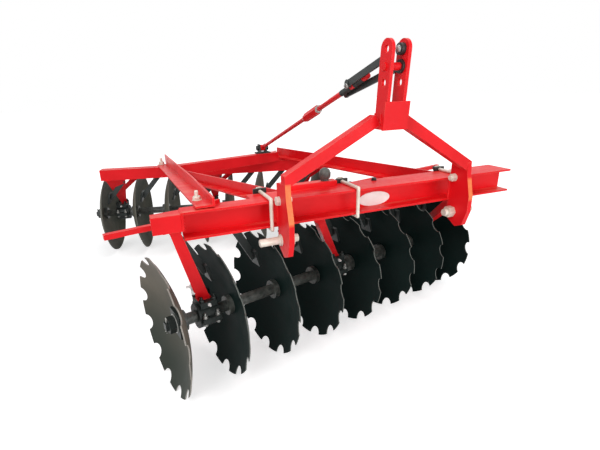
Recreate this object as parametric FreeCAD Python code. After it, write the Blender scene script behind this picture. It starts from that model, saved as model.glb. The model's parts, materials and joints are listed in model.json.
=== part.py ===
import FreeCAD, Part
import math
import os

V = FreeCAD.Vector

# Working frame, mm: X right, Y rearwards (travel is -Y), Z up, ground at z = 0,
# x = 0 half way between the lower hitch pins, y = 0 at the front beam's front.
# At the end everything moves so that the whole stands centred on the origin.
DISC_R = 281.0
DISC_T = 5.0
DISH = 66.0
HUB_R = 46.0
PITCH = 228.0
DISCS = 8
NOTCHES = 13
SHAFT = 30.0
SPOOL_R = 24.0
SPOOL_END_R = 42.0
RUN_GAP = 0.4
FIRST_NOTCH = 5.0
NOTCH_STEP = 9.0
SHAFT_OUT = 56.0

FRONT_GANG = dict(x=-847.7, y=115.0, turn=13.3, dish=1)
REAR_GANG = dict(x=-1075.6, y=1867.4, turn=-13.3, dish=-1)

BEAM_X = (-735.0, 725.0)
BEAM_D = 124.0
BEAM_Z = (664.0, 764.0)
WEB_T = 12.0
FLANGE_T = 8.0
BACK_CHANNEL_X = -480.0

REAR_A = (-1107.0, 1701.0)
REAR_LONG = 1690.0
REAR_TURN = -13.3
REAR_Z = (564.0, 638.0)
REAR_D = 76.0

HITCH_X = 390.0
HITCH_T = 20.0
PIN_R = 14.35
PIN_Y = -30.0
PIN_Z = 622.0
MAST_X = 32.0
MAST_T = 12.0
MAST_Y = -97.0
MAST_W = 64.0
MAST_Z = (993.0, 1282.0)
MAST_HOLES = (1250.0, 1197.0, 1147.0)
MAST_HOLE_R = 12.7

nodes = {}


def add(name, *solids):
    nodes[name] = list(solids)


def block(x0, x1, y0, y1, z0, z1):
    return Part.makeBox(x1 - x0, y1 - y0, z1 - z0, V(x0, y0, z0))


def rod(p, d, r, length):
    return Part.makeCylinder(r, length, V(*p), V(*d))


def ring(p, d, r_out, r_in, length):
    outer = Part.makeCylinder(r_out, length, V(*p), V(*d))
    return outer.cut(Part.makeCylinder(r_in, length, V(*p), V(*d)))


def prism(points, along):
    # points are 3-D corners of one flat face, along is the way it is pushed
    corners = [V(*p) for p in points]
    return Part.Face(Part.makePolygon(corners + corners[:1])).extrude(V(*along))


def run(section, a, b):
    # section: (across, up) corners; across is to the right of the way a to b
    a = V(*a)
    b = V(*b)
    way = b.sub(a)
    flat = V(way.x, way.y, 0)
    flat.normalize()
    right = V(flat.y, -flat.x, 0)
    pts = [a.add(V(right.x * s, right.y * s, u)) for s, u in section]
    return Part.Face(Part.makePolygon(pts + pts[:1])).extrude(way)


def hexagon(p, d, across_flats, length):
    d = V(*d)
    d.normalize()
    side = V(0, 0, 1) if abs(d.z) < 0.9 else V(1, 0, 0)
    other = d.cross(side)
    r = across_flats / math.sqrt(3)
    pts = []
    for i in range(6):
        t = math.radians(60 * i + 30)
        c = r * math.cos(t)
        s = r * math.sin(t)
        pts.append(V(*p).add(V(side.x * c + other.x * s, side.y * c + other.y * s, side.z * c + other.z * s)))
    return Part.Face(Part.makePolygon(pts + pts[:1])).extrude(V(d.x * length, d.y * length, d.z * length))


def less(shape, *others):
    for other in others:
        shape = shape.cut(other)
    return shape


def biggest(shape):
    return max(shape.Solids, key=lambda one: one.Volume)


def placed(shape, gang):
    # gang frame: X along the axle from the first disc's rim, Y rearwards, Z up, origin on the axle
    out = shape.copy()
    out.rotate(V(0, 0, 0), V(0, 0, 1), gang["turn"])
    out.translate(V(gang["x"], gang["y"], DISC_R))
    return out


def gang_point(gang, s, back, up):
    t = math.radians(gang["turn"])
    x = gang["x"] + s * math.cos(t) - back * math.sin(t)
    y = gang["y"] + s * math.sin(t) + back * math.cos(t)
    return (x, y, DISC_R + up)


def dish_profile(side):
    # meridian from the hub's edge to the rim: one arc per face
    hub = DISH * side
    rim = 0.0
    chord_mid = ((DISC_R + HUB_R) / 2, (hub + rim) / 2)
    bow = 13.0 * side
    t = DISC_T * side
    inner = [V(hub - t, 0, 0), V(hub - t, 0, HUB_R)]
    arc_in = Part.Arc(V(hub - t, 0, HUB_R), V(chord_mid[1] - t + bow, 0, chord_mid[0]), V(-t, 0, DISC_R))
    arc_out = Part.Arc(V(0, 0, DISC_R), V(chord_mid[1] + bow, 0, chord_mid[0]), V(hub, 0, HUB_R))
    edges = [Part.makeLine(inner[0], inner[1]), arc_in.toShape(),
             Part.makeLine(V(-t, 0, DISC_R), V(0, 0, DISC_R)),
             arc_out.toShape(), Part.makeLine(V(hub, 0, HUB_R), V(hub, 0, 0)),
             Part.makeLine(V(hub, 0, 0), inner[0])]
    return Part.Face(Part.Wire(edges))


def disc(side, notched, turn):
    body = dish_profile(side).revolve(V(0, 0, 0), V(1, 0, 0), 360)
    body = Part.Solid(body.Shells[0]) if body.ShapeType != "Solid" else body
    if notched:
        cutter = []
        for i in range(NOTCHES):
            a = math.radians(turn + 360.0 * i / NOTCHES)
            c = V(-40, (DISC_R + 2) * math.cos(a), (DISC_R + 2) * math.sin(a))
            cutter.append(Part.makeCylinder(34.0, 80, c, V(1, 0, 0)))
        body = body.cut(Part.makeCompound(cutter))
    hole = Part.makeBox(200, SHAFT, SHAFT, V(-100, -SHAFT / 2, -SHAFT / 2))
    return body.cut(hole)


def gang(name, g, notched, bearings, off):
    side = g["dish"]
    hub_lo = min(DISH * side, (DISH - DISC_T) * side)
    hub_hi = max(DISH * side, (DISH - DISC_T) * side)
    for k in range(DISCS):
        one = disc(side, notched, FIRST_NOTCH + NOTCH_STEP * k)
        one.translate(V(k * PITCH, 0, 0))
        add("%s_disc_%d" % (name, k + 1), placed(one, g))
    spools = []
    for k in range(DISCS - 1):
        a = k * PITCH + hub_hi
        b = (k + 1) * PITCH + hub_lo
        body = rod((a, 0, 0), (1, 0, 0), SPOOL_R, b - a)
        for end in (a, b - 22):
            body = body.fuse(rod((end, 0, 0), (1, 0, 0), SPOOL_END_R, 22))
        square = Part.makeBox(b - a, SHAFT, SHAFT, V(a, -SHAFT / 2, -SHAFT / 2))
        spools.append(placed(body.cut(square), g))
    add(name + "_spools", *spools)
    lo = hub_lo - SHAFT_OUT
    hi = (DISCS - 1) * PITCH + hub_hi + SHAFT_OUT
    shaft = Part.makeBox(hi - lo, SHAFT, SHAFT, V(lo, -SHAFT / 2, -SHAFT / 2))
    last = (DISCS - 1) * PITCH + hub_hi
    for at, way in ((hub_lo, -1), (last, 1)):
        washer = Part.makeBox(14, 100, 100, V(at if way > 0 else at - 14, -50, -50))
        nut = hexagon((at + 14 * way, 0, 0), (way, 0, 0), 60, 30)
        shaft = shaft.fuse(washer).fuse(nut)
    ends = [nodes["%s_disc_%d" % (name, k)][0] for k in (1, DISCS)]
    add(name + "_axle", less(placed(shaft, g), *ends))
    houses = []
    for k in bearings:
        mid = k * PITCH + (hub_hi + PITCH + hub_lo) / 2 + off
        shell = ring((mid - 45, 0, 0), (1, 0, 0), 52, SPOOL_R + RUN_GAP, 90)
        head = Part.makeBox(70, 90, 26, V(mid - 35, -45, 46))
        head = head.cut(Part.makeCylinder(SPOOL_R + RUN_GAP, 90, V(mid - 45, 0, 0), V(1, 0, 0)))
        houses.append(placed(shell.fuse(head), g))
    add(name + "_bearing_housings", *houses)
    return [k * PITCH + (hub_hi + PITCH + hub_lo) / 2 + off for k in bearings]


front_mid = gang("front", FRONT_GANG, True, (0, 3, 6), 0)
rear_mid = gang("rear", REAR_GANG, False, (0, 3, 6), 25)

# Front beam: two channels back to back, drawn as one
beam_box = block(BEAM_X[0], BEAM_X[1], 0, BEAM_D, BEAM_Z[0], BEAM_Z[1])
web_lo = (BEAM_D - WEB_T) / 2
inside_z = (BEAM_Z[0] + FLANGE_T, BEAM_Z[1] - FLANGE_T)
web_hi = web_lo + WEB_T
front_beam = less(beam_box,
                  block(BEAM_X[0], BEAM_X[1], 0, web_lo, *inside_z),
                  block(BEAM_X[0], BEAM_X[1], web_hi, BEAM_D, *inside_z),
                  block(BEAM_X[0], BACK_CHANNEL_X, web_hi, BEAM_D, *BEAM_Z))
add("front_beam", front_beam)

# Rear beam: a channel with its web in front, parallel to the rear gang
rear_turn = math.radians(REAR_TURN)
rear_ax = (math.cos(rear_turn), math.sin(rear_turn))


def rear_xy(s, back):
    return (REAR_A[0] + s * rear_ax[0] - back * rear_ax[1], REAR_A[1] + s * rear_ax[1] + back * rear_ax[0])


def rear_y(x):
    return REAR_A[1] + (x - REAR_A[0]) * rear_ax[1] / rear_ax[0]


rear_a = (*rear_xy(0, 0), REAR_Z[0])
rear_b = (*rear_xy(REAR_LONG, 0), REAR_Z[0])
high = REAR_Z[1] - REAR_Z[0]
channel = [(0, 0), (0, high), (-REAR_D, high), (-REAR_D, high - 8), (-8, high - 8),
           (-8, 8), (-REAR_D, 8), (-REAR_D, 0)]
rear_full = [(0, 0), (0, high), (-REAR_D, high), (-REAR_D, 0)]
rear_beam = run(channel, rear_a, rear_b)
rear_box = run(rear_full, rear_a, rear_b)
add("rear_beam", rear_beam)

# Left side member: an angle on top of both beams, its upright leg on the right and cut down in front
LEG_T = 8.0
SIDE_WIDE = 66.0
SIDE_HIGH = 84.0
# y and height of the upright leg's top edge, which falls towards the front
SIDE_TOP = ((0.0, 31.0), (190.0, 40.0), (500.0, 54.0), (900.0, 62.0), (1285.0, 69.0), (1760.0, 79.0))
SIDE = dict(x0=-620.0, y0=12.0, x1=-651.0, y1=1713.0)
side_rise = (REAR_Z[1] - BEAM_Z[1]) / (1640.0 - web_hi)
side_z0 = BEAM_Z[1] - side_rise * (web_hi - SIDE["y0"])
side_z1 = BEAM_Z[1] + side_rise * (SIDE["y1"] - web_hi)


def side_at(y):
    f = (y - SIDE["y0"]) / (SIDE["y1"] - SIDE["y0"])
    return (SIDE["x0"] + f * (SIDE["x1"] - SIDE["x0"]), side_z0 + f * (side_z1 - side_z0))


def angle_section(high, wide, thick):
    return [(0, 0), (0, high), (-thick, high), (-thick, thick), (-wide, thick), (-wide, 0)]


side_a = (SIDE["x0"], SIDE["y0"], side_z0)
side_b = (SIDE["x1"], SIDE["y1"], side_z1)
side_member = run(angle_section(SIDE_HIGH, SIDE_WIDE, LEG_T), side_a, side_b)
left = SIDE["x0"] - 60
trim = [(left, y, side_at(y)[1] + height) for y, height in SIDE_TOP]
trim += [(left, SIDE_TOP[-1][0], 900), (left, SIDE_TOP[0][0], 900)]
side_member = less(side_member, prism(trim, (120, 0, 0)), beam_box, rear_box)
gusset = prism([(SIDE["x0"] - LEG_T / 2, 40, BEAM_Z[1]), (SIDE["x0"] + 27, web_hi, BEAM_Z[1]),
                (SIDE["x0"] - LEG_T / 2, web_hi, BEAM_Z[1])], (0, 0, 14))
add("left_side_member", side_member.fuse(gusset))

# Right diagonal: an angle from the front beam's back, over the rear beam
DIAG_HIGH = 64.0
DIAG_LEG = 56.0
diag = [(0, 0), (0, DIAG_HIGH), (-LEG_T, DIAG_HIGH), (-LEG_T, LEG_T), (-DIAG_LEG, LEG_T), (-DIAG_LEG, 0)]
DIAG_A = (402.0, BEAM_D, BEAM_Z[1] - DIAG_HIGH)
DIAG_B = (148.0, 1520.0, REAR_Z[1] + 18.0)
right_diag = run(diag, (DIAG_A[0] + 254.0 * 30 / 1396, DIAG_A[1] - 30, DIAG_A[2] + 46.0 * 30 / 1396), DIAG_B)
right_diag = less(right_diag, beam_box, rear_box)
add("right_diagonal", right_diag)
PACK_X = (138.0, 186.0)
pack_plan = [(x, rear_y(x) + back, REAR_Z[1]) for x, back in
             ((PACK_X[0], 4), (PACK_X[1], 4), (PACK_X[1], 72), (PACK_X[0], 72))]
over_packing = [(40, 0), (40, 90), (-DIAG_LEG - 40, 90), (-DIAG_LEG - 40, 0)]
packing = less(prism(pack_plan, (0, 0, 40)), run(over_packing, DIAG_A, DIAG_B))
add("diagonal_packing", packing)
diag_box = run([(0, -2), (0, DIAG_HIGH + 2), (-DIAG_LEG, DIAG_HIGH + 2), (-DIAG_LEG, -2)], DIAG_A, DIAG_B)

# Cross member: an angle from the side member to the right diagonal, lying on the rear beam at its right end
CROSS_HIGH = 66.0
CROSS_A = (-606.0, 1232.0, REAR_Z[1])
CROSS_B = (140.0, 1411.0, REAR_Z[1])
cross = [(0, 0), (0, CROSS_HIGH), (-60, CROSS_HIGH), (-60, CROSS_HIGH - LEG_T),
         (-LEG_T, CROSS_HIGH - LEG_T), (-LEG_T, 0)]
rear_cross = run(cross, (CROSS_A[0] - 60, CROSS_A[1] - 14.4, CROSS_A[2]), CROSS_B)
side_block = run([(0, -60), (0, 200), (-200, 200), (-200, -60)], side_a, side_b)
rear_cross = less(rear_cross, side_block, diag_box, rear_box, packing)
add("rear_cross_member", rear_cross)

# Inner left diagonal, from the front beam's back to under the side member
INNER_A = (-338.0, BEAM_D, 710.0)
inner = run([(0, 0), (0, 54), (-8, 54), (-8, 8), (-46, 8), (-46, 0)],
            (INNER_A[0] + 8, INNER_A[1] - 31, INNER_A[2] + 2.2), (-612.0, 1197.0, 632.6))
inner = less(inner, beam_box, run([(0, 0), (0, 120), (-70, 120), (-70, 0)], side_a, side_b))
inner = biggest(inner)
add("inner_diagonal", inner)

# Hitch plates in front of the beam, with the lower pins pointing outwards
PLATE = [(-86, 838), (0, 828), (0, 640), (-4, 590), (-55, 562),
         (-92, 578), (-112, 640), (-112, 706), (-90, 790)]
for word, sign in (("left", -1), ("right", 1)):
    x0 = sign * HITCH_X - HITCH_T / 2
    plate = prism([(x0, y, z) for y, z in PLATE], (HITCH_T, 0, 0))
    bolt = ((x0 - 1, -24, 768), (x0 - 1, PIN_Y, PIN_Z))
    plate = plate.cut(rod(bolt[0], (1, 0, 0), 9, HITCH_T + 2)).cut(rod(bolt[1], (1, 0, 0), PIN_R, HITCH_T + 2))
    add("hitch_plate_" + word, plate)
    inner_face = sign * (HITCH_X - HITCH_T / 2)
    outer_face = sign * (HITCH_X + HITCH_T / 2)
    pin = rod((inner_face - sign * 44, PIN_Y, PIN_Z), (sign, 0, 0), PIN_R, 44 + HITCH_T + 80)
    pin = pin.fuse(rod((outer_face, PIN_Y, PIN_Z), (sign, 0, 0), 20, 8))
    pin = pin.fuse(hexagon((inner_face, PIN_Y, PIN_Z), (-sign, 0, 0), 42, 28))
    add("lower_hitch_pin_" + word, pin)
    bolt = rod((inner_face - sign * 26, -24, 768), (sign, 0, 0), 9, 26 + HITCH_T + 10)
    bolt = bolt.fuse(hexagon((inner_face, -24, 768), (-sign, 0, 0), 28, 18))
    bolt = bolt.fuse(hexagon((outer_face, -24, 768), (sign, 0, 0), 28, 13))
    add("hitch_bolt_" + word, bolt)

# A-frame arms, square tubes from the hitch plates' tops to the mast
ARM_HIGH = 40.0
ARM_Y = (-86.0, -48.0)
ARMS = {"left": ((-432.0, 826.0), (-50.0, 1026.0)), "right": ((432.0, 800.0), (50.0, 1029.0))}
MAST_LEAN = 0.078


def mast_y(z):
    # the mast leans forward: its foot stands further back than its top
    return MAST_Y + (MAST_HOLES[0] - z) * MAST_LEAN


for word, (low, high) in ARMS.items():
    sign = -1 if word == "left" else 1
    way = V(high[0] - low[0], 0, high[1] - low[1])
    up = V(-way.z * -sign, 0, way.x * -sign)
    up.normalize()
    if up.z < 0:
        up = V(-up.x, 0, -up.z)
    corners = []
    for y, side in ((ARM_Y[0], -1), (ARM_Y[1], -1), (ARM_Y[1], 1), (ARM_Y[0], 1)):
        corners.append((low[0] + up.x * side * ARM_HIGH / 2, y, low[1] + up.z * side * ARM_HIGH / 2))
    arm = prism(corners, (way.x, 0, way.z))
    x_cut = sign * (HITCH_X + HITCH_T / 2)
    outer = block(min(x_cut, x_cut + sign * 200), max(x_cut, x_cut + sign * 200), -200, 100, 700, 1000)
    core_half = MAST_X + MAST_T / 2
    inside = block(-core_half, core_half, -300, 0, 900, 1400)
    add("a_frame_arm_" + word, less(arm, outer, inside, nodes["hitch_plate_" + word][0]))

# Mast: two leaning straps with round tops, a front plate and a filling piece


def mast_side(x, thick, front, back, z0, z1):
    # a leaning plate: front and back are distances from the mast's middle line
    return prism([(x, mast_y(z0) + front, z0), (x, mast_y(z0) + back, z0),
                  (x, mast_y(z1) + back, z1), (x, mast_y(z1) + front, z1)], (thick, 0, 0))


half = MAST_W / 2
add("mast_base_plate", mast_side(-50, 100, -half - 9, -half, MAST_Z[0], 1087))
for word, sign in (("left", -1), ("right", 1)):
    x0 = sign * MAST_X - MAST_T / 2
    strap = mast_side(x0, MAST_T, -half, half, MAST_Z[0], MAST_HOLES[0])
    strap = strap.fuse(rod((x0, MAST_Y, MAST_HOLES[0]), (1, 0, 0), half, MAST_T))
    for z in MAST_HOLES:
        strap = strap.cut(rod((x0 - 1, mast_y(z), z), (1, 0, 0), MAST_HOLE_R, MAST_T + 2))
    add("mast_strap_" + word, strap)
inner_half = MAST_X - MAST_T / 2
add("mast_core", mast_side(-inner_half, 2 * inner_half, -20, half, MAST_Z[0], 1075))
add("top_link_bush", ring((inner_half - 16, MAST_Y, MAST_HOLES[0]), (1, 0, 0), 19, MAST_HOLE_R, 16))

# Stay: a rod with a turnbuckle sleeve, two links from the mast to its cross bolt, a bracket behind
PIN_HOLE_Y = mast_y(MAST_HOLES[1])
STAY_TOP = V(0, PIN_HOLE_Y, 1226)
STAY_LOW = V(-2, 1428, 740)
ROD_R = 11.0
ROD_TIP = 168.0
way = STAY_LOW.sub(STAY_TOP)
length = way.Length
unit = V(way.x / length, way.y / length, way.z / length)


def on_stay(d):
    return V(STAY_TOP.x + unit.x * d, STAY_TOP.y + unit.y * d, STAY_TOP.z + unit.z * d)


eye = rod((STAY_LOW.x - 17, STAY_LOW.y, STAY_LOW.z), (1, 0, 0), 22, 34)
eye_hole = rod((STAY_LOW.x - 60, STAY_LOW.y, STAY_LOW.z), (1, 0, 0), 10, 120)
stay_rod = rod(tuple(on_stay(ROD_TIP)), tuple(unit), ROD_R, length - ROD_TIP)
stay_rod = stay_rod.fuse(hexagon(tuple(on_stay(620)), tuple(unit), 40, 150)).fuse(eye).cut(eye_hole)
CROSS_D = 282.0
cross_at = on_stay(CROSS_D)
cross_bolt = rod((-36, cross_at.y, cross_at.z), (1, 0, 0), 6, 72)
stay_rod = stay_rod.cut(cross_bolt)
add("stay_rod", stay_rod)

# Links: x of the plate's left face, then y and z of each end's middle, half the height
LINKS = ((-inner_half, (-74.0, 1226.0), (cross_at.y + 14, cross_at.z + 5), 12.5),
         (inner_half - 8, (PIN_HOLE_Y, MAST_HOLES[1]), (cross_at.y + 98, cross_at.z - 36), 12.5))
stay_fork = cross_bolt
for x, top, low, half_high in LINKS:
    dy, dz = low[0] - top[0], low[1] - top[1]
    n = math.hypot(dy, dz)
    off = (-dz / n * half_high, dy / n * half_high)
    corners = []
    for end, side in ((top, 1), (low, 1), (low, -1), (top, -1)):
        corners.append((x, end[0] + side * off[0], end[1] + side * off[1]))
    stay_fork = stay_fork.fuse(prism(corners, (8, 0, 0)))
stay_fork = stay_fork.fuse(rod((inner_half - 8, PIN_HOLE_Y, MAST_HOLES[1]), (1, 0, 0), 22, 8))
stay_pin = rod((-45, PIN_HOLE_Y, MAST_HOLES[1]), (1, 0, 0), MAST_HOLE_R, 90)
add("stay_fork", less(stay_fork, stay_pin))
add("stay_pin", stay_pin)

# Stay bracket: two ears on a foot, on the cross member
foot_z = REAR_Z[1] + CROSS_HIGH
ears = []
for sign in (-1, 1):
    x = STAY_LOW.x + sign * 23
    ears.append(prism([(x - 5, 1398, foot_z), (x - 5, 1452, foot_z), (x - 5, 1448, foot_z + 62),
                       (x - 5, 1408, foot_z + 62)], (10, 0, 0)))
foot = block(STAY_LOW.x - 52, STAY_LOW.x + 52, 1398, 1452, foot_z, foot_z + 8)
bracket = ears[0].fuse(ears[1]).fuse(foot).cut(eye_hole)
bracket = less(bracket, right_diag)
add("stay_bracket", bracket)
pin = rod((STAY_LOW.x - 44, STAY_LOW.y, STAY_LOW.z), (1, 0, 0), 10, 88)
for sign in (-1, 1):
    pin = pin.fuse(hexagon((STAY_LOW.x + sign * 28, STAY_LOW.y, STAY_LOW.z), (sign, 0, 0), 32, 14))
add("stay_bracket_bolt", pin)

# U-bolts round the front beam, through plates behind it
U_X = (-425.0, -70.0, 431.0)
u_bolts = []
plates = []
for x in U_X:
    r = 7.0
    u = rod((x, -r, BEAM_Z[0] - r), (0, 0, 1), r, BEAM_Z[1] - BEAM_Z[0] + 2 * r)
    plate = block(x - 26, x + 26, BEAM_D, BEAM_D + 10, BEAM_Z[0] - 18, BEAM_Z[1] + 18)
    for z in (BEAM_Z[0] - r, BEAM_Z[1] + r):
        u = u.fuse(Part.makeSphere(r, V(x, -r, z)))
        u = u.fuse(rod((x, -r, z), (0, 1, 0), r, BEAM_D + r + 34))
        u = u.fuse(hexagon((x, BEAM_D + 10, z), (0, 1, 0), 24, 14))
        plate = plate.cut(rod((x, 0, z), (0, 1, 0), r, 400))
    plate = less(plate, right_diag, inner, rear_cross)
    u_bolts.append(u)
    plates.append(plate)
add("beam_u_bolts", *u_bolts)
add("u_bolt_plates", *plates)

# Bracket welded to the front beam's left end, carrying the first standard and the scraper bar
BAR = 20.0
BAR_UP = 398.0
BAR_BACK = 40.0
BRACKET_TOP = 760.0
bracket_low = DISC_R + BAR_UP + BAR / 2 + 11
end_bracket = prism([(-835, -4, bracket_low), (-735, -4, bracket_low), (-735, 60, bracket_low),
                     (-835, 40, bracket_low)], (0, 0, BRACKET_TOP - bracket_low))
end_bracket = less(end_bracket, beam_box)

# Scraper bar, above the front axle and behind the front beam
bar_f = placed(Part.makeBox(1840, BAR, BAR, V(-140, BAR_BACK - BAR / 2, BAR_UP - BAR / 2)), FRONT_GANG)
lug = placed(Part.makeBox(60, 150, 16, V(24, -100, BAR_UP + BAR / 2)), FRONT_GANG)
end_bracket = less(end_bracket.fuse(lug), bar_f, beam_box)
add("beam_end_bracket", end_bracket)
hangers = []
for x in (-250.0, 250.0, 620.0):
    t = math.radians(FRONT_GANG["turn"])
    y_bar = FRONT_GANG["y"] + (x - FRONT_GANG["x"]) * math.tan(t) + BAR_BACK
    z = DISC_R + BAR_UP - BAR / 2
    hanger = block(x - 25, x + 25, BEAM_D, y_bar + 26, z - 10, z)
    hangers.append(less(hanger, right_diag, inner, *plates))
add("scraper_bar", less(bar_f, *plates))

# Scrapers: a slanting arm and a blade near each disc's hollow face, at (along, up) points in the gang frame
ARM_HALF = 17.0


def scraper(gang_at, k, side, back, top, low):
    # the arm is a flat bar with its wide face to the front, the blade a short plate across its end
    n = math.hypot(low[0] - top[0], low[1] - top[1])
    across = ((low[1] - top[1]) / n * ARM_HALF, -(low[0] - top[0]) / n * ARM_HALF)
    strip = []
    for (s, up), way in ((top, 1), (low, 1), (low, -1), (top, -1)):
        strip.append((side * (s + across[0] * way) + k * PITCH, back - 5, up + across[1] * way))
    blade = []
    for s, up in ((-16, 40), (-4, 44), (16, -26), (6, -34)):
        blade.append((side * (low[0] + s) + k * PITCH, back - 34, low[1] + up))
    return placed(prism(strip, (0, 10, 0)).fuse(prism(blade, (0, 68, 0))), gang_at)


front_scrapers = []
for k in range(1, DISCS):
    one = scraper(FRONT_GANG, k, 1, BAR_BACK, (-143, BAR_UP - BAR / 2), (-16, 160))
    front_scrapers.append(less(one, bar_f, *hangers))
add("front_scrapers", *front_scrapers)
add("scraper_bar_hangers", *hangers)

# Standards: tapering legs from the frame down to the bearing housings
HEAD_Z = 72.0


def leg(*levels):
    # each level: middle x, y and z, then half the width along x and along y
    wires = []
    for cx, cy, z, wx, wy in levels:
        pts = [V(cx - wx, cy - wy, z), V(cx + wx, cy - wy, z), V(cx + wx, cy + wy, z), V(cx - wx, cy + wy, z)]
        wires.append(Part.makePolygon(pts + pts[:1]))
    return Part.makeLoft(wires, True, True)


feet = [gang_point(FRONT_GANG, s, 0, HEAD_Z) for s in (front_mid[0] - 5, *front_mid[1:])]
(ax, ay, az), (bx, by, bz), (cx, cy, cz) = feet
FRONT_LEGS = (
    ((ax, ay, az, 26, 16), (-765, 18, 700, 18, 14)),
    ((bx, by, bz, 20, 20), (bx - 164, 122, 610, 17, 24), (bx - 216, 82, BEAM_Z[0], 34, 34)),
    ((cx, cy, cz, 20, 20), (cx - 90, 82, BEAM_Z[0], 34, 34)),
)
for i, levels in enumerate(FRONT_LEGS):
    solid = biggest(less(leg(*levels), beam_box, bar_f, end_bracket, *front_scrapers))
    add("front_standard_%d" % (i + 1), solid)
for i, s in enumerate(rear_mid):
    x, y, z = gang_point(REAR_GANG, s + 14, 0, HEAD_Z)
    top_y = rear_y(x - 24) + REAR_D / 2
    main = leg((x, y, z, 14, 18), (x - 24, top_y, REAR_Z[0], 64, 26))
    strut = leg((x + 2, y - 60, 462, 20, 10), (x + 104, rear_y(x + 104) + 52, REAR_Z[0], 26, 10))
    add("rear_standard_%d" % (i + 1), less(main.fuse(strut), rear_box))
rear_scrapers = []
for k in range(DISCS - 1):
    one = scraper(REAR_GANG, k, -1, -118, (-158, REAR_Z[0] - DISC_R), (-30, 140))
    rear_scrapers.append(biggest(less(one, rear_box, *[nodes["rear_standard_%d" % n][0] for n in (1, 2, 3)])))
add("rear_scrapers", *rear_scrapers)

# Move the whole so that it stands centred on the origin
lo = [1e9, 1e9, 1e9]
hi = [-1e9, -1e9, -1e9]
for solids in nodes.values():
    for solid in solids:
        b = solid.optimalBoundingBox(False, False)
        lo = [min(p, q) for p, q in zip(lo, (b.XMin, b.YMin, b.ZMin))]
        hi = [max(p, q) for p, q in zip(hi, (b.XMax, b.YMax, b.ZMax))]
shift = V(-(lo[0] + hi[0]) / 2, -(lo[1] + hi[1]) / 2, -lo[2])
print("shift", round(shift.x, 3), round(shift.y, 3), round(shift.z, 3))
print("size", [round(q - p, 2) for p, q in zip(lo, hi)])

os.makedirs("parts", exist_ok=True)
for name, solids in nodes.items():
    parts = []
    for solid in solids:
        parts += solid.Solids
    shape = parts[0] if len(parts) == 1 else Part.makeCompound(parts)
    shape = shape.copy()
    shape.translate(shift)
    shape.exportStep("parts/%s.step" % name)
    print(name, len(parts), round(shape.Volume / 1000.0, 1), shape.isValid())
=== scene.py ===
import json
import math

import bmesh
import bpy
from mathutils import Matrix, Vector


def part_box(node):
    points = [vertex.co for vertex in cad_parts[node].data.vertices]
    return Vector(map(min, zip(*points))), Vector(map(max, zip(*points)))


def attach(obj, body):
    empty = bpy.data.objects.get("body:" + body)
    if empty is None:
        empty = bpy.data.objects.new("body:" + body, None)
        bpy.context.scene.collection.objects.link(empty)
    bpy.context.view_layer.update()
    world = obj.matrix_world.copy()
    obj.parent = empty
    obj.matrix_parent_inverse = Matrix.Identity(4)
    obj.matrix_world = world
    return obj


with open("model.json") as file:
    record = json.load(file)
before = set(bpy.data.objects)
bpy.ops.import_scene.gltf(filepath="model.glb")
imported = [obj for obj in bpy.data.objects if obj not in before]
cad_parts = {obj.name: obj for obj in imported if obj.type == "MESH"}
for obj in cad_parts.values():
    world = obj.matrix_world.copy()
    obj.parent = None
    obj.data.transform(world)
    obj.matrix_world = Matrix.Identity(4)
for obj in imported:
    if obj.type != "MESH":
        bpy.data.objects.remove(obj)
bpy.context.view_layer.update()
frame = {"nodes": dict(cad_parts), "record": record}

# Everything below is in part.py's working frame, in metres: x = 0 between the hitch pins,
# y = 0 at the front beam's front, z = 0 on the ground. PLACE takes it to the row frame.
BEAM_LEFT = -0.735
BEAM_LOW = 0.664
BEAM_TOP = 0.764
WEB_FACE = 0.056
REAR_A = (-1.107, 1.701)
REAR_LOW = 0.564
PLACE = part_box("front_beam")[0] - Vector((BEAM_LEFT, 0.0, BEAM_LOW))
DISC_R = 0.281
DISH = 0.066
PITCH = 0.228
DISCS = 8
BEARINGS = (0, 3, 6)
GANGS = {
    "front": dict(x=-0.8477, y=0.115, turn=math.radians(13.3), dish=1, housing=0.1775),
    "rear": dict(x=-1.0756, y=1.8674, turn=math.radians(-13.3), dish=-1, housing=0.0755),
}


def at(x, y, z):
    return Vector((x, y, z)) + PLACE


def gang_at(gang, along, back, up):
    g = GANGS[gang]
    c, s = math.cos(g["turn"]), math.sin(g["turn"])
    return at(g["x"] + along * c - back * s, g["y"] + along * s + back * c, DISC_R + up)


def gang_way(gang, along, back):
    return gang_at(gang, along, back, 0.0) - gang_at(gang, 0, 0, 0)


# Camera, as fitted to the photograph
CAMERA_AT = (-0.8408042, -1.2718492, 1.1442359)
HEADING = math.radians(20.485691)
TILT = math.radians(20.182404)
ROLL = math.radians(1.861051)
LENS = 23.372
SHIFT = (0.02164, 0.00838)
SENSOR = 36.0
CLIP = (0.05, 200.0)

forward = Vector((math.sin(HEADING) * math.cos(TILT), math.cos(HEADING) * math.cos(TILT), -math.sin(TILT)))
level = Vector((math.cos(HEADING), -math.sin(HEADING), 0.0))
under = forward.cross(level)
right = level * math.cos(ROLL) + under * math.sin(ROLL)
down = under * math.cos(ROLL) - level * math.sin(ROLL)
turned = Matrix((right, -down, -forward)).transposed().to_4x4()
camera = bpy.data.objects.new("camera", bpy.data.cameras.new("camera"))
bpy.context.scene.collection.objects.link(camera)
camera.matrix_world = Matrix.Translation(at(*CAMERA_AT)) @ turned
camera.data.sensor_width = SENSOR
camera.data.lens = LENS
camera.data.shift_x, camera.data.shift_y = SHIFT
camera.data.clip_start, camera.data.clip_end = CLIP
bpy.context.scene.camera = camera
bpy.context.scene.view_settings.view_transform = "Standard"


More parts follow.
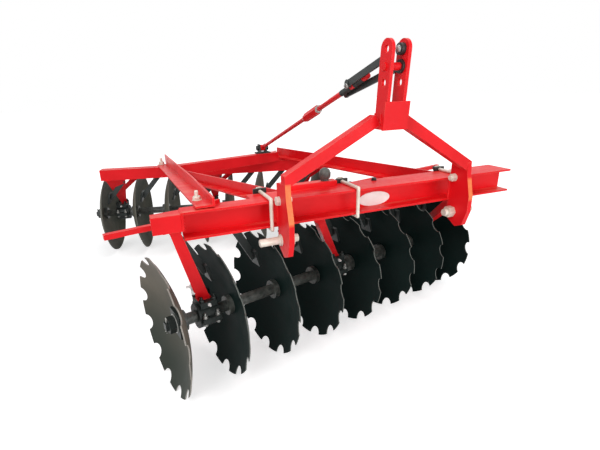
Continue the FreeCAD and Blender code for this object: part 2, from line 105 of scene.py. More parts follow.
# Node helpers
class Nodes:
    def __init__(self, name):
        self.material = bpy.data.materials.new(name)
        self.material.use_nodes = True
        self.tree = self.material.node_tree
        self.shader = self.tree.nodes["Principled BSDF"]

    def put(self, socket, value):
        if isinstance(value, bpy.types.NodeSocket):
            self.tree.links.new(value, socket)
        else:
            socket.default_value = value

    def new(self, kind, inputs=(), **props):
        node = self.tree.nodes.new("ShaderNode" + kind)
        for key, value in props.items():
            setattr(node, key, value)
        for key, value in dict(inputs).items():
            self.put(node.inputs[key], value)
        return node

    def ramp(self, value, stops):
        node = self.new("ValToRGB", {"Fac": value})
        band = node.color_ramp
        while len(band.elements) < len(stops):
            band.elements.new(0.5)
        for element, (place, colour) in zip(band.elements, stops):
            element.position = place
            element.color = (*colour, 1.0)
        return node.outputs["Color"]

    def noise(self, vector, scale, detail=3.0, rough=0.5):
        inputs = {"Vector": vector, "Scale": scale, "Detail": detail, "Roughness": rough}
        return self.new("TexNoise", inputs).outputs["Fac"]

    def ranged(self, value, low, high, low_in=0.3, high_in=0.7):
        inputs = {"Value": value, "From Min": low_in, "From Max": high_in, "To Min": low, "To Max": high}
        return self.new("MapRange", inputs).outputs["Result"]

    def maths(self, what, a, b=0.0):
        return self.new("Math", {0: a, 1: b}, operation=what).outputs[0]

    def edges(self, radius):
        # 0 on flat faces, rising to 1 where the surface turns a corner
        plain = self.new("NewGeometry").outputs["Normal"]
        rounded = self.new("Bevel", {"Radius": radius}, samples=4).outputs["Normal"]
        agree = self.new("VectorMath", {0: plain, 1: rounded}, operation="DOT_PRODUCT").outputs["Value"]
        return self.ranged(agree, 1.0, 0.0, 0.80, 0.97)

    def facing(self, way):
        # how far the surface faces a fixed direction of the row frame
        normal = self.new("NewGeometry").outputs["Normal"]
        return self.new("VectorMath", {0: normal, 1: way}, operation="DOT_PRODUCT").outputs["Value"]

    def mix(self, factor, a, b):
        node = self.new("Mix", {0: factor}, data_type="RGBA")
        self.put(node.inputs[6], a)
        self.put(node.inputs[7], (*b, 1.0))
        return node.outputs[2]

    def bump(self, height, strength, distance):
        node = self.new("Bump", {"Height": height, "Strength": strength, "Distance": distance})
        self.tree.links.new(node.outputs["Normal"], self.shader.inputs["Normal"])

    def feed(self, **sockets):
        for key, value in sockets.items():
            self.put(self.shader.inputs[key.replace("_", " ")], value)


def object_place(n):
    return n.new("TexCoord").outputs["Object"]


UP = (0.0, 0.0, 1.0)
FRONT = (0.0, -1.0, 0.0)

# Colours of the paint: three depths of red, dust with a painted top highlight on upward faces, worn edges with a
# painted edge highlight, scuffs and a painted orange light on the front edge
REDS = ((0.30, (0.70, 0.006, 0.010)), (0.50, (0.80, 0.009, 0.014)), (0.72, (0.87, 0.012, 0.018)))
DUST_AND_TOP_HIGHLIGHT = (0.86, 0.30, 0.20)
WORN_AND_EDGE_HIGHLIGHT = (0.90, 0.34, 0.24)
SCUFF = (0.45, 0.020, 0.020)
PAINTED_FRONT_LIGHT = (0.95, 0.27, 0.085)
FRONT_LIGHT_FADE = 0.006


def red_paint(name, front_light_heights=None):
    # gloss paint with a little orange peel, streaks of dust with a painted highlight on upward faces, and spots of
    # painted orange light on the front edge
    n = Nodes(name)
    where = object_place(n)
    patches = n.noise(where, 4.5, 4.0, 0.55)
    drawn = n.new("Mapping", {"Vector": where, "Scale": (1.6, 16.0, 9.0)}).outputs["Vector"]
    streaks = n.noise(drawn, 2.2, 3.0, 0.5)
    peel = n.noise(where, 420.0, 2.0)
    specks = n.noise(where, 60.0, 6.0, 0.65)
    colour = n.ramp(patches, REDS)
    # upward faces get pale streaks: partly dust, partly a painted highlight from the top light
    upward = n.ranged(n.facing(UP), 0.0, 1.0, 0.75, 1.0)
    dust_and_top_highlight = n.maths("MULTIPLY", upward, n.ranged(streaks, 0.0, 0.36, 0.50, 0.68))
    colour = n.mix(dust_and_top_highlight, colour, DUST_AND_TOP_HIGHLIGHT)
    # paler paint on the corners: partly wear, partly a painted edge highlight
    worn_and_edge_highlight = n.maths("MULTIPLY", n.edges(0.0016), n.ranged(streaks, 0.10, 0.70, 0.40, 0.62))
    colour = n.mix(worn_and_edge_highlight, colour, WORN_AND_EDGE_HIGHLIGHT)
    scuff = n.ranged(specks, 0.0, 0.5, 0.66, 0.80)
    colour = n.mix(scuff, colour, SCUFF)
    if front_light_heights:
        # painted orange light along the plate's front edge, between two heights
        low, high = front_light_heights
        height = n.new("SeparateXYZ", {"Vector": where}).outputs["Z"]
        front = n.ranged(n.facing(FRONT), 0.0, 1.0, 0.70, 0.92)
        front_light = n.maths("MULTIPLY", front, n.ranged(specks, 0.60, 0.95))
        front_light = n.maths("MULTIPLY", front_light, n.ranged(height, 0.0, 1.0, low - FRONT_LIGHT_FADE, low + FRONT_LIGHT_FADE))
        front_light = n.maths("MULTIPLY", front_light, n.ranged(height, 1.0, 0.0, high - FRONT_LIGHT_FADE, high + FRONT_LIGHT_FADE))
        colour = n.mix(front_light, colour, PAINTED_FRONT_LIGHT)
    n.feed(Base_Color=colour, Roughness=n.ranged(specks, 0.30, 0.44, 0.3, 0.7), Specular_IOR_Level=0.16)
    n.bump(n.maths("ADD", peel, n.maths("MULTIPLY", specks, 1.5)), 0.16, 0.0006)
    return n.material


def disc_steel(name, gang, dark, mid, edge_colour, scale=9.0, fade=None):
    # dark dipped steel with blotches, very faint turned rings and a paler cut edge
    g = GANGS[gang]
    n = Nodes(name)
    axle = n.new("Mapping", {"Vector": object_place(n), "Location": at(g["x"], g["y"], DISC_R),
                             "Rotation": (0.0, 0.0, g["turn"])}, vector_type="TEXTURE").outputs["Vector"]
    parts = n.new("SeparateXYZ", {"Vector": axle})
    across = n.new("CombineXYZ", {"Y": parts.outputs["Y"], "Z": parts.outputs["Z"]}).outputs["Vector"]
    radius = n.new("VectorMath", {0: across}, operation="LENGTH").outputs["Value"]
    blotch = n.noise(axle, scale, 5.0, 0.6)
    broad = n.noise(axle, 2.6, 2.0, 0.4)
    grit = n.noise(axle, 240.0, 3.0)
    wobble = n.maths("ADD", radius, n.maths("MULTIPLY", blotch, 0.02))
    fine = n.maths("SINE", n.maths("MULTIPLY", wobble, 1250.0))
    colour = n.ramp(n.maths("ADD", n.maths("MULTIPLY", blotch, 0.5), n.maths("MULTIPLY", broad, 0.5)),
                    ((0.34, dark), (0.62, mid)))
    if fade:
        # darker towards the ground
        height = n.maths("ADD", parts.outputs["Z"], n.maths("MULTIPLY", broad, 0.16))
        colour = n.mix(n.ranged(height, 1.0, 0.0, -0.10, 0.22), colour, fade)
    side = n.maths("ABSOLUTE", n.facing((math.cos(g["turn"]), math.sin(g["turn"]), 0.0)))
    cut = n.maths("MULTIPLY", n.ranged(side, 1.0, 0.0, 0.45, 0.75), n.ranged(grit, 0.6, 1.0))
    n.feed(Base_Color=n.mix(cut, colour, edge_colour), Roughness=n.ranged(blotch, 0.44, 0.60),
           Specular_IOR_Level=0.12, IOR=1.25)
    n.bump(n.maths("ADD", grit, n.maths("MULTIPLY", fine, 0.2)), 0.14, 0.0005)
    return n.material


def rough_casting(name, dark, pale, rough=(0.42, 0.66)):
    n = Nodes(name)
    where = object_place(n)
    grain = n.noise(where, 330.0, 4.0, 0.65)
    lumps = n.noise(where, 42.0, 5.0, 0.6)
    n.feed(Base_Color=n.ramp(lumps, ((0.32, dark), (0.66, pale))), Roughness=n.ranged(grain, *rough),
           Specular_IOR_Level=0.4)
    n.bump(n.maths("ADD", grain, n.maths("MULTIPLY", lumps, 1.6)), 0.5, 0.0012)
    return n.material


def rolled_steel(name, dark, pale, metal, rough):
    n = Nodes(name)
    where = object_place(n)
    scratch = n.new("Mapping", {"Vector": where, "Scale": (60.0, 60.0, 420.0)}).outputs["Vector"]
    lines = n.noise(scratch, 3.0, 3.0)
    stain = n.noise(where, 24.0, 5.0, 0.6)
    n.feed(Base_Color=n.ramp(stain, ((0.30, dark), (0.68, pale))), Roughness=n.ranged(lines, *rough),
           Metallic=metal)
    n.bump(lines, 0.16, 0.0004)
    return n.material


RED = red_paint("red_paint")
# the hitch plates carry a painted orange light on their front edges
LIT_LEFT = red_paint("hitch_plate_left_paint", front_light_heights=(0.700, 0.836))
LIT_RIGHT = red_paint("hitch_plate_right_paint", front_light_heights=(0.690, 0.775))
FRONT_DISC = disc_steel("front_disc_steel", "front",
                        (0.003, 0.010, 0.009), (0.009, 0.021, 0.019), (0.17, 0.18, 0.165))
REAR_DISC = disc_steel("rear_disc_steel", "rear",
                       (0.045, 0.055, 0.042), (0.165, 0.158, 0.128), (0.16, 0.16, 0.135))
# the first front disc: paler blotches than the others, darker towards the ground
FIRST_FRONT_DISC = disc_steel("first_front_disc_steel", "front",
                        (0.095, 0.088, 0.072), (0.180, 0.160, 0.130), (0.34, 0.32, 0.29),
                        scale=5.0, fade=(0.052, 0.060, 0.050))
CAST = rough_casting("cast_black", (0.005, 0.010, 0.009), (0.020, 0.027, 0.025))
SPOOL = rough_casting("spool_casting", (0.028, 0.034, 0.031), (0.120, 0.126, 0.112), (0.34, 0.50))
DARK = rolled_steel("dark_steel", (0.004, 0.008, 0.007), (0.016, 0.022, 0.020), 0.0, (0.42, 0.58))
GREY = rolled_steel("grey_steel", (0.24, 0.24, 0.23), (0.48, 0.48, 0.45), 0.5, (0.26, 0.42))
ZINC = rolled_steel("zinc_steel", (0.66, 0.58, 0.47), (0.88, 0.83, 0.74), 0.1, (0.30, 0.48))
PALE = rolled_steel("pale_enamel", (0.86, 0.85, 0.82), (0.95, 0.95, 0.93), 0.0, (0.34, 0.46))

# Finish of each slot, and of the nodes that differ from their slot
FINISH = {"red_paint": RED, "disc_steel": REAR_DISC, "cast_black": CAST,
          "dark_steel": DARK, "zinc_steel": ZINC}
SPECIAL = {"front_disc_1": FIRST_FRONT_DISC, "stay_pin": RED,
           "hitch_plate_left": LIT_LEFT, "hitch_plate_right": LIT_RIGHT,
           "front_spools": SPOOL, "rear_spools": SPOOL, "u_bolt_plates": DARK}
SPECIAL.update({"front_disc_%d" % (k + 2): FRONT_DISC for k in range(DISCS - 1)})
slots = {part["node"]: part["material_slot"] for part in frame["record"]["subparts"]}
for name, obj in frame["nodes"].items():
    for index in range(len(obj.material_slots)):
        obj.material_slots[index].material = SPECIAL.get(name, FINISH[slots[name]])


# Mesh helpers. A stack is a row of rings, each (distance along, radius or half across flats, hexed)
SIDES = 24
COLLAR_SIDES = 36
WIRE_SIDES = 8
SIXTH = math.pi / 3
SMOOTH = math.radians(35.0)
CHAMFER = 0.0012
BEAD_STEP = 0.0035
CORNERS = ((-1, -1), (1, -1), (1, 1), (-1, 1))
# a direction that no wire or weld bead runs along
SLANT = Vector((0.13, 0.21, 0.97))


def round_rows(*rows):
    return [(along, radius, False) for along, radius in rows]


def hex_rows(*rows):
    return [(along, half, True) for along, half in rows]


def across_way(way):
    side = Vector((0, 0, 1)) if abs(way.z) < 0.9 else Vector((1, 0, 0))
    side = (side - way * side.dot(way)).normalized()
    return side, way.cross(side)


def skin(bm, rings, loop=False):
    pairs = list(zip(rings, rings[1:])) + ([(rings[-1], rings[0])] if loop else [])
    count = len(rings[0])
    for low, high in pairs:
        for i in range(count):
            j = (i + 1) % count
            bm.faces.new((low[i], low[j], high[j], high[i]))
    if not loop:
        bm.faces.new(rings[0][::-1])
        bm.faces.new(rings[-1])


def circle(bm, centre, side, other, radius, sides):
    ring = []
    for i in range(sides):
        angle = 2 * math.pi * i / sides
        point = centre + side * (radius * math.cos(angle))
        ring.append(bm.verts.new(point + other * (radius * math.sin(angle))))
    return ring


def stack(bm, start, way, rows, twist=0.0, squash=(1.0, 1.0), sides=SIDES):
    way = Vector(way).normalized()
    side, other = across_way(way)
    rings = []
    for along, radius, hexed in rows:
        ring = []
        for i in range(sides):
            angle = 2 * math.pi * i / sides
            r = radius / math.cos((angle % SIXTH) - SIXTH / 2) if hexed else radius
            flat = side * (r * math.cos(angle + twist) * squash[0])
            flat += other * (r * math.sin(angle + twist) * squash[1])
            ring.append(bm.verts.new(Vector(start) + way * along + flat))
        rings.append(ring)
    skin(bm, rings)


def collar(bm, start, way, inner, outer, thick):
    # a ring with chamfered outer corners and an open middle
    way = Vector(way).normalized()
    side, other = across_way(way)
    profile = ((0.0, inner), (0.0, outer - CHAMFER), (CHAMFER, outer), (thick - CHAMFER, outer),
               (thick, outer - CHAMFER), (thick, inner))
    rings = []
    for along, radius in profile:
        rings.append(circle(bm, Vector(start) + way * along, side, other, radius, COLLAR_SIDES))
    skin(bm, rings, loop=True)


def tube(bm, points, radius, closed=False, wave=0.0):
    count = len(points)
    rings = []
    for i, p in enumerate(points):
        before = points[(i - 1) % count] if closed or i else p
        after = points[(i + 1) % count] if closed or i < count - 1 else p
        way = (after - before).normalized()
        side = way.cross(SLANT).normalized()
        r = radius * (1.0 + wave * math.sin(i * 2.1))
        rings.append(circle(bm, p, side, way.cross(side), r, WIRE_SIDES))
    skin(bm, rings, loop=closed)


def finish_piece(bm, name, material, body):
    bmesh.ops.recalc_face_normals(bm, faces=bm.faces)
    mesh = bpy.data.meshes.new(name)
    bm.to_mesh(mesh)
    bm.free()
    mesh.materials.append(material)
    obj = bpy.data.objects.new(name, mesh)
    bpy.context.scene.collection.objects.link(obj)
    for poly in mesh.polygons:
        poly.use_smooth = True
    mesh.set_sharp_from_angle(angle=SMOOTH)
    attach(obj, body)


def head_rows(flats, height, washer=0.0, thick=0.003):
    # a hexagon head with eased edges, on a washer where its radius isn't 0
    ease = 0.0006
    half = flats / 2
    base = thick if washer else 0.0
    rows = []
    if washer:
        rows += round_rows((0.0, washer - ease), (ease, washer), (base - ease, washer),
                           (base, washer - 0.0008), (base, half * 0.98))
    rows += hex_rows((base, half * 0.97), (base + 0.0007, half), (base + height * 0.80, half))
    return rows + round_rows((base + height, half * 0.92), (base + height * 1.02, half * 0.55))


def stud_rows(start, radius, length, pitch=0.0044):
    # a threaded end: crests and roots in turn
    count = int(2 * length / pitch)
    rows = [(start + i * pitch / 2, radius * (1.0 if i % 2 else 0.90), False) for i in range(count)]
    return rows + [(start + length, radius * 0.8, False)]


def bolts(name, table, material, body):
    # rows: place, way, across flats, head height, washer radius, stud radius, stud length
    bm = bmesh.new()
    for n, (place, way, flats, height, washer, stud, long) in enumerate(table):
        rows = head_rows(flats, height, washer)
        if long:
            rows += stud_rows(rows[-1][0], stud, long)
        stack(bm, place, way, rows, twist=0.37 * n)
    finish_piece(bm, name, material, body)


def welds(name, lines):
    # rows: start, end, radius of the bead
    bm = bmesh.new()
    for a, b, radius in lines:
        count = max(4, int((b - a).length / BEAD_STEP))
        tube(bm, [a.lerp(b, i / count) for i in range(count + 1)], radius, wave=0.16)
    finish_piece(bm, name, RED, "frame")


def around(corners, radius):
    return [(corners[k], corners[(k + 1) % 4], radius) for k in range(4)]


def outline_lines(cx, cy, half_x, half_y, z, radius=0.0045):
    return around([at(cx + half_x * i, cy + half_y * j, z) for i, j in CORNERS], radius)


def rear_beam_front(x):
    return REAR_A[1] + (x - REAR_A[0]) * math.tan(GANGS["rear"]["turn"])


# Blank oval badge on the front beam's web, with a raised rim
BADGE = (0.043, 0.700)
BADGE_HALF = (0.030, 0.075)
bm = bmesh.new()
stack(bm, at(BADGE[0], WEB_FACE + 0.0002, BADGE[1]), FRONT,
      round_rows((0.0, 1.0), (0.0018, 1.0), (0.0030, 0.97), (0.0032, 0.93), (0.0026, 0.91), (0.0034, 0.60),
                 (0.0038, 0.2)), squash=BADGE_HALF, sides=64)
finish_piece(bm, "blank_oval_badge", PALE, "frame")

# Hitch plates' welds to the beam
HITCH_X = 0.390
HITCH_T = 0.020
lines = []
for sign in (-1, 1):
    for face in (-1, 1):
        x = sign * HITCH_X + face * HITCH_T / 2
        lines.append((at(x, -0.001, BEAM_LOW + 0.003), at(x, -0.001, BEAM_TOP - 0.003), 0.0055))
welds("hitch_plate_welds", lines)

# Linch pin and its wire ring on the right lower pin
PIN_AT = (-0.030, 0.622)
LINCH_X = 0.462
RING_STEPS = 32
bm = bmesh.new()
centre = at(LINCH_X, *PIN_AT)
stack(bm, centre + Vector((0, 0, -0.020)), UP,
      round_rows((0.0, 0.0026), (0.002, 0.0036), (0.036, 0.0036), (0.037, 0.0058), (0.043, 0.0058),
                 (0.045, 0.0040)), sides=16)
ring = []
for i in range(RING_STEPS + 1):
    angle = math.radians(80 - 340 * i / RING_STEPS)
    ring.append(centre + Vector((0.004, 0.019 * math.cos(angle), 0.023 * math.sin(angle))))
tube(bm, ring, 0.0015)
finish_piece(bm, "linch_pin", GREY, "frame")

# Lower pins: thread inside the plate, chamfered end, collar at the plate, and rings round the hitch bolts
PIN_R = 0.01435
PIN_END = 0.4798
PIN_THREAD_R = 0.0152
PIN_NUT_OUT = 0.0275
HITCH_BOLT = (-0.024, 0.768)
for word, sign in (("left", -1), ("right", 1)):
    bm = bmesh.new()
    stack(bm, at(sign * (HITCH_X - HITCH_T / 2 - PIN_NUT_OUT), *PIN_AT), (-sign, 0, 0),
          stud_rows(0.0, PIN_THREAD_R, 0.016))
    stack(bm, at(sign * PIN_END, *PIN_AT), (sign, 0, 0), round_rows((0.0, PIN_R * 0.97), (0.0025, PIN_R * 0.86)))
    collar(bm, at(sign * (HITCH_X + HITCH_T / 2), *PIN_AT), (sign, 0, 0), 0.0198, 0.0222, 0.0025)
    for face in (-1, 1):
        collar(bm, at(sign * HITCH_X + face * HITCH_T / 2, *HITCH_BOLT), (face, 0, 0), 0.0150, 0.0164, 0.0016)
    finish_piece(bm, "hitch_threads_" + word, ZINC, "frame")

# Lock nuts and thread ends behind the beam's U-bolts, with washers on the plates
U_X = (-0.425, -0.070, 0.431)
U_Z = (BEAM_LOW - 0.007, BEAM_TOP + 0.007)
U_NUT_Y = 0.148
U_WASHER_Y = 0.134
rows = [(at(x, U_NUT_Y, z), (0, 1, 0), 0.023, 0.008, 0.0, 0.0066, 0.010) for x in U_X for z in U_Z]
bolts("u_bolt_lock_nuts", rows, DARK, "frame")
bm = bmesh.new()
for x in U_X:
    for z in U_Z:
        collar(bm, at(x, U_WASHER_Y, z), (0, 1, 0), 0.0135, 0.0165, 0.0025)
finish_piece(bm, "u_bolt_washers", ZINC, "frame")

# Bolt heads on the frame: the side member on both beams, the front beam's top and the diagonal
FRAME_BOLTS = (
    # name, material, x, y, z, across flats, head height, stud radius, stud length
    ("side_member_front_bolt", ZINC, -0.664, 0.128, 0.7664, 0.026, 0.013, 0.0075, 0.020),
    ("side_member_rear_bolt", ZINC, -0.690, 1.664, 0.6470, 0.034, 0.018, 0.0100, 0.026),
    ("beam_top_bolt", DARK, 0.071, 0.105, 0.7640, 0.018, 0.008, 0.0, 0.0),
    ("diagonal_rear_bolt", ZINC, 0.121, 1.500, 0.6720, 0.026, 0.013, 0.0075, 0.014),
)
for name, material, x, y, z, flats, head, stud, long in FRAME_BOLTS:
    bolts(name, [(at(x, y, z), UP, flats, head, flats * 0.68, stud, long)], material, "frame")

# Clamp bar on the beam's back edge, its ends and long edges chamfered
CLAMP_X = (-0.345, -0.105)
CLAMP_Y = (0.100, 0.140)
CLAMP_TOP = BEAM_TOP + 0.020
END_CUT = 0.0015
EDGE_CUT = 0.002
bm = bmesh.new()
rings = []
x0, x1 = CLAMP_X
for x, inset in ((x0, END_CUT), (x0 + END_CUT, 0.0), (x1 - END_CUT, 0.0), (x1, END_CUT)):
    y0, y1, z1 = CLAMP_Y[0] + inset, CLAMP_Y[1] - inset, CLAMP_TOP - inset
    ring = ((y0, BEAM_TOP), (y1, BEAM_TOP), (y1, z1 - EDGE_CUT), (y1 - EDGE_CUT, z1),
            (y0 + EDGE_CUT, z1), (y0, z1 - EDGE_CUT))
    rings.append([bm.verts.new(at(x, y, z)) for y, z in ring])
skin(bm, rings)
finish_piece(bm, "beam_clamp_bar", RED, "frame")

# The tall round-headed bolt on the clamp bar
bm = bmesh.new()
stack(bm, at(-0.149, 0.124, CLAMP_TOP), UP,
      hex_rows((0.0, 0.0150), (0.008, 0.0150)) +
      round_rows((0.0085, 0.0190), (0.016, 0.0230), (0.032, 0.0235), (0.043, 0.0190), (0.050, 0.0100),
                 (0.052, 0.0040)))
finish_piece(bm, "clamp_bar_bolt", SPOOL, "frame")

# Two pale bolts on the left of the first standard's foot
rows = [(at(-0.7155, 0.130, 0.424), (-1, 0, 0.06), 0.020, 0.010, 0.0125, 0.0055, 0.014),
        (at(-0.7120, 0.134, 0.399), (-1, 0, 0.06), 0.024, 0.013, 0.0, 0.0, 0.0)]
bolts("standard_side_bolts", rows, PALE, "frame")

# Welds of the end bracket, of both gangs' standards under the beams and of the A-frame's arms
BRACKET_Y = (-0.004, 0.058)
BRACKET_Z = (0.702, 0.758)
STANDARD_X = (-0.2253, 0.5664)
STANDARD_Y = 0.082
MAST_FOOT_Z = 1.030
lines = []
for y in BRACKET_Y:
    lines.append((at(BEAM_LEFT, y, BRACKET_Z[0]), at(BEAM_LEFT, y, BRACKET_Z[1]), 0.0055))
lines.append((at(BEAM_LEFT, -0.002, 0.760), at(BEAM_LEFT, 0.056, 0.760), 0.005))
for x in STANDARD_X:
    lines += outline_lines(x, STANDARD_Y, 0.034, 0.034, BEAM_LOW - 0.001)
for k in BEARINGS:
    foot = gang_at("rear", k * PITCH + GANGS["rear"]["housing"] + 0.014, 0, 0) - PLACE
    for aside, behind, half_x, half_y in ((-0.024, 0.038, 0.064, 0.026), (0.104, 0.052, 0.026, 0.010)):
        x = foot.x + aside
        lines += outline_lines(x, rear_beam_front(x) + behind, half_x, half_y, REAR_LOW - 0.001, 0.0035)
for sign in (-1, 1):
    for y in (-0.085, -0.049):
        x = sign * 0.038
        lines.append((at(x, y, MAST_FOOT_Z - 0.016), at(x, y, MAST_FOOT_Z + 0.018), 0.0035))
    lines.append((at(sign * 0.380, -0.084, 0.8365), at(sign * 0.380, -0.050, 0.8325), 0.005))
welds("frame_welds", lines)

# Welds round the standards' feet: shift along the gang, half length and half width
FOOT_WELDS = {"front": (0.0, 0.020, 0.020), "rear": (0.014, 0.015, 0.018)}
FIRST_FRONT_FOOT = (-0.005, 0.026, 0.016)
FOOT_UP = 0.0725
lines = []
for k in BEARINGS:
    for gang in GANGS:
        shift, half_in, half_back = FIRST_FRONT_FOOT if (gang, k) == ("front", 0) else FOOT_WELDS[gang]
        mid = k * PITCH + GANGS[gang]["housing"] + shift
        lines += around([gang_at(gang, mid + half_in * i, half_back * j, FOOT_UP) for i, j in CORNERS], 0.004)
welds("standard_foot_welds", lines)

# Bearing housings: cap bolts on top, clamp ears in front and behind with their bolts, a grease nipple each
BOLT_ALONG = 0.027
CAP_BACK = 0.036
CAP_UP = 0.072
EAR_BACK = 0.060
EAR_HALF = 0.012
EAR_OUTLINE = ((0.046, -EAR_HALF), (0.068, -EAR_HALF), (0.071, -0.009), (0.071, 0.009), (0.068, EAR_HALF),
               (0.046, EAR_HALF))
EAR_ENDS = ((-0.040, 0.002), (-0.038, 0.0), (0.038, 0.0), (0.040, 0.002))
EAR_SHRINK = 60
CAP_BOLT = head_rows(0.019, 0.010, 0.0125, 0.0025) + stud_rows(0.0128, 0.006, 0.010)
EAR_BOLT = head_rows(0.017, 0.009, 0.0105, 0.002) + stud_rows(0.0112, 0.0060, 0.012)
EAR_NUT = head_rows(0.017, 0.010)
NIPPLE = (hex_rows((0.0, 0.0060), (0.006, 0.0060)) +
          round_rows((0.0065, 0.0030), (0.011, 0.0030), (0.0125, 0.0042), (0.015, 0.0038), (0.0165, 0.0020)))
bm = bmesh.new()
ears = bmesh.new()
nipples = bmesh.new()
clamps = bmesh.new()
for gang in GANGS:
    for k in BEARINGS:
        mid = k * PITCH + GANGS[gang]["housing"]
        for dx in (-BOLT_ALONG, BOLT_ALONG):
            for dy in (-CAP_BACK, CAP_BACK):
                stack(bm, gang_at(gang, mid + dx, dy, CAP_UP), UP, CAP_BOLT, twist=0.4 * k + dx * 30)
            for side in (-1, 1):
                stack(clamps, gang_at(gang, mid + dx, side * EAR_BACK, EAR_HALF), UP, EAR_BOLT, twist=dx * 40)
                stack(clamps, gang_at(gang, mid + dx, side * EAR_BACK, -EAR_HALF), (0, 0, -1), EAR_NUT, twist=0.2)
        for side in (-1, 1):
            rings = []
            for along, inset in EAR_ENDS:
                shrink = 1 - inset * EAR_SHRINK
                ring = [gang_at(gang, mid + along, side * (back - inset), up * shrink) for back, up in EAR_OUTLINE]
                rings.append([ears.verts.new(place) for place in ring])
            skin(ears, rings)
        stack(nipples, gang_at(gang, mid, -0.045, 0.059), gang_way(gang, 0, -1), NIPPLE)
finish_piece(bm, "bearing_cap_bolts", DARK, "frame")
finish_piece(clamps, "bearing_clamp_bolts", GREY, "frame")
finish_piece(ears, "bearing_clamp_ears", CAST, "frame")
finish_piece(nipples, "grease_nipples", PALE, "frame")

# Scraper clips and bolts on the front bar, bolt heads under the rear beam
BAR_AT = (0.040, 0.398)
CLIP_HALF = 0.0112
CLIP_GROW = 0.0022
bm = bmesh.new()
clip_bolts = []
for k in range(1, DISCS):
    along = k * PITCH - 0.143
    rings = []
    for step, grow in ((-0.021, 0.0), (-0.019, CLIP_GROW), (0.019, CLIP_GROW), (0.021, 0.0)):
        half = CLIP_HALF + grow
        ring = [gang_at("front", along + step, BAR_AT[0] + i * half, BAR_AT[1] + j * half) for i, j in CORNERS]
        rings.append([bm.verts.new(place) for place in ring])
    skin(bm, rings)
    place = gang_at("front", along, 0.0268, BAR_AT[1])
    clip_bolts.append((place, gang_way("front", 0, -1), 0.016, 0.008, 0.0, 0.0, 0.0))
for k in range(DISCS - 1):
    place = gang_at("rear", k * PITCH + 0.148, -0.123, 0.262)
    clip_bolts.append((place, gang_way("rear", 0, -1), 0.016, 0.008, 0.0105, 0.0, 0.0))
finish_piece(bm, "scraper_clips", DARK, "frame")
bolts("scraper_bolts", clip_bolts, DARK, "frame")

# Axle ends: split pins through the nuts and a collar round each
DISC_T = 0.005
SPLIT_R = 0.0022
EYE_R = 0.006
EYE_STEPS = 16
for gang in GANGS:
    bm = bmesh.new()
    dish = GANGS[gang]["dish"]
    hub_low, hub_high = sorted((DISH * dish, (DISH - DISC_T) * dish))
    for hub, out in ((hub_low, -1), (hub_high + (DISCS - 1) * PITCH, 1)):
        pin = hub + out * 0.0475
        for lean in (-0.003, 0.003):
            path = [gang_at(gang, pin + lean * 0.5, 0.0, 0.026), gang_at(gang, pin, 0.0, -0.020),
                    gang_at(gang, pin + out * 0.006, lean * 3, -0.026)]
            tube(bm, path, SPLIT_R)
        eye = []
        for i in range(EYE_STEPS):
            angle = i * math.pi / (EYE_STEPS / 2)
            eye.append(gang_at(gang, pin, EYE_R * math.cos(angle), 0.030 + EYE_R * math.sin(angle)))
        tube(bm, eye, SPLIT_R, closed=True)
        collar(bm, gang_at(gang, hub + out * 0.014, 0, 0), gang_way(gang, out, 0), 0.031, 0.0395, 0.004)
    finish_piece(bm, gang + "_axle_split_pins", GREY, gang + "_gang")

# Stay rod: rolled thread where it goes through the cross bolt, a lock nut each side of the sleeve
STAY_TOP = Vector((0.0, -0.0929, 1.226))
STAY_WAY = (Vector((-0.002, 1.428, 0.740)) - STAY_TOP).normalized()
STAY_THREAD_R = 0.0126
STAY_PITCH = 0.0036


def on_stay(d):
    return at(*(STAY_TOP + STAY_WAY * d))


bm = bmesh.new()
for start, length in ((0.200, 0.069), (0.296, 0.085)):
    stack(bm, on_stay(start), STAY_WAY, stud_rows(0.0, STAY_THREAD_R, length, STAY_PITCH))
finish_piece(bm, "stay_rod_thread", DARK, "frame")
bm = bmesh.new()
for d, way in ((0.6205, -1), (0.7695, 1)):
    stack(bm, on_stay(d), STAY_WAY * way, head_rows(0.034, 0.012))
finish_piece(bm, "stay_lock_nuts", GREY, "frame")

# Stay pin's washer and clip on its right end
PIN_HOLE = (-0.0929, 1.197)
bm = bmesh.new()
collar(bm, at(0.038, *PIN_HOLE), (1, 0, 0), 0.0128, 0.0200, 0.0030)
stack(bm, at(0.0415, PIN_HOLE[0], PIN_HOLE[1] - 0.020), UP,
      round_rows((0.0, 0.0015), (0.001, 0.0022), (0.036, 0.0022), (0.038, 0.0045), (0.042, 0.0030)), sides=12)
finish_piece(bm, "stay_pin_clip", GREY, "frame")

# The cross bolt's nuts and the rounded ends of the stay's links
CROSS = (0.1757, 1.1402)
LINK_ENDS = ((-0.0285, 0.1810, 1.1490), (0.0155, 0.2655, 1.1080))
rows = []
for sign in (-1, 1):
    rows.append((at(sign * 0.0262, *CROSS), (sign, 0, 0), 0.019, 0.0085, 0.0, 0.0060, 0.004))
bolts("cross_bolt_nuts", rows, GREY, "frame")
bm = bmesh.new()
for place in LINK_ENDS:
    stack(bm, at(*place), (1, 0, 0),
          round_rows((0.0, 0.0140), (0.0012, 0.0154), (0.0118, 0.0154), (0.0130, 0.0140)), sides=32)
finish_piece(bm, "stay_link_ends", DARK, "frame")

# The top link bush's inner part, rounded like a ball
MAST_TOP = (-0.097, 1.250)
MAST_LEAN = 0.078
bm = bmesh.new()
stack(bm, at(0.0245, *MAST_TOP), (-1, 0, 0),
      round_rows((0.0, 0.0124), (0.0135, 0.0124), (0.0185, 0.0112), (0.0225, 0.0085), (0.0245, 0.0050),
                 (0.0250, 0.0015)))
finish_piece(bm, "top_link_ball", GREY, "frame")


def mast_y(z):
    return MAST_TOP[0] + (MAST_TOP[1] - z) * MAST_LEAN


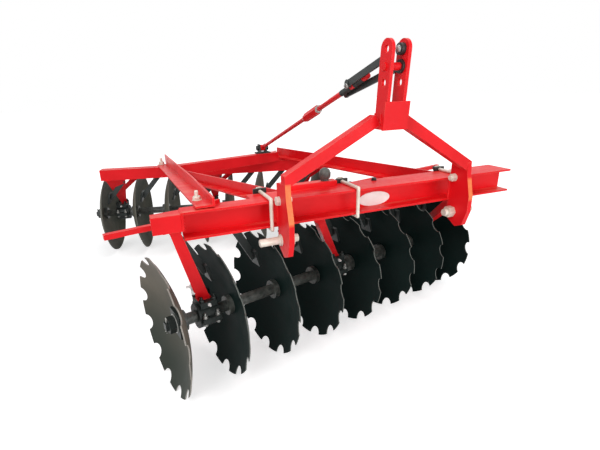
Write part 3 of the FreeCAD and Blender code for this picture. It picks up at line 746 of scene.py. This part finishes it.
# Mast welds along the base plate and the straps
STRAP_Z = (0.997, 1.083)
BASE_PLATE_Z = 1.076
lines = []
for sign in (-1, 1):
    ends = [at(sign * 0.0375, mast_y(z) - 0.0315, z) for z in STRAP_Z]
    lines.append((*ends, 0.003))
y = mast_y(BASE_PLATE_Z) - 0.018
lines.append((at(-0.024, y, 1.0752), at(0.024, y, 1.0752), 0.004))
welds("mast_welds", lines)

# Floor, light and background
WHITE = (1.0, 1.0, 1.0, 1.0)
FLOOR_HALF = 30.0
FLOOR_Z = -0.0005
bm = bmesh.new()
bm.faces.new([bm.verts.new((x * FLOOR_HALF, y * FLOOR_HALF, FLOOR_Z)) for x, y in CORNERS])
floor_mesh = bpy.data.meshes.new("floor")
bm.to_mesh(floor_mesh)
bm.free()
floor = bpy.data.objects.new("floor", floor_mesh)
bpy.context.scene.collection.objects.link(floor)
n = Nodes("floor")
shade = n.ramp(n.noise(object_place(n), 0.6), ((0.3, (0.80, 0.80, 0.80)), (0.7, (0.82, 0.82, 0.82))))
n.feed(Base_Color=shade, Roughness=1.0, Specular_IOR_Level=0.0)
path = n.new("LightPath")
other_rays = n.maths("MAXIMUM", path.outputs["Is Glossy Ray"], path.outputs["Is Transmission Ray"])
seen = n.maths("MAXIMUM", path.outputs["Is Camera Ray"], other_rays)
# the floor glows a little near the object, so that its shadow stays, and is plain white further out
away = n.new("VectorMath", {0: object_place(n)}, operation="LENGTH").outputs["Value"]
n.feed(Emission_Color=WHITE, Emission_Strength=n.maths("MULTIPLY", seen, n.ranged(away, 0.58, 1.0, 1.6, 4.2)))
floor_mesh.materials.append(n.material)

world = bpy.data.worlds.new("white")
bpy.context.scene.world = world
world.use_nodes = True
tree = world.node_tree
back = tree.nodes["Background"]
white = tree.nodes.new("ShaderNodeBackground")
white.inputs["Color"].default_value = WHITE
white.inputs["Strength"].default_value = 1.0
back.inputs["Color"].default_value = (0.97, 0.98, 1.0, 1)
back.inputs["Strength"].default_value = 0.34
path = tree.nodes.new("ShaderNodeLightPath")
first = tree.nodes.new("ShaderNodeMath")
second = tree.nodes.new("ShaderNodeMath")
for node in (first, second):
    node.operation = "MAXIMUM"
tree.links.new(path.outputs["Is Glossy Ray"], first.inputs[0])
tree.links.new(path.outputs["Is Transmission Ray"], first.inputs[1])
tree.links.new(path.outputs["Is Camera Ray"], second.inputs[0])
tree.links.new(first.outputs[0], second.inputs[1])
blend = tree.nodes.new("ShaderNodeMixShader")
tree.links.new(second.outputs[0], blend.inputs[0])
tree.links.new(back.outputs[0], blend.inputs[1])
tree.links.new(white.outputs[0], blend.inputs[2])
tree.links.new(blend.outputs[0], tree.nodes["World Output"].inputs["Surface"])

LIGHTS = (
    # name, place, aim, size, power
    ("key", (-3.2, -2.6, 3.4), (0.0, 0.2, 0.5), 2.2, 112.0),
    ("top", (0.4, 0.6, 4.2), (0.0, 0.6, 0.4), 3.0, 62.0),
    ("fill", (1.4, -4.2, 1.4), (0.0, 0.3, 0.6), 2.8, 80.0),
)
for name, place, aim, size, power in LIGHTS:
    lamp = bpy.data.lights.new(name, "AREA")
    lamp.shape = "SQUARE"
    lamp.size = size
    lamp.energy = power
    obj = bpy.data.objects.new(name, lamp)
    bpy.context.scene.collection.objects.link(obj)
    obj.location = at(*place)
    obj.rotation_euler = (Vector(aim) - Vector(place)).to_track_quat("-Z", "Y").to_euler()
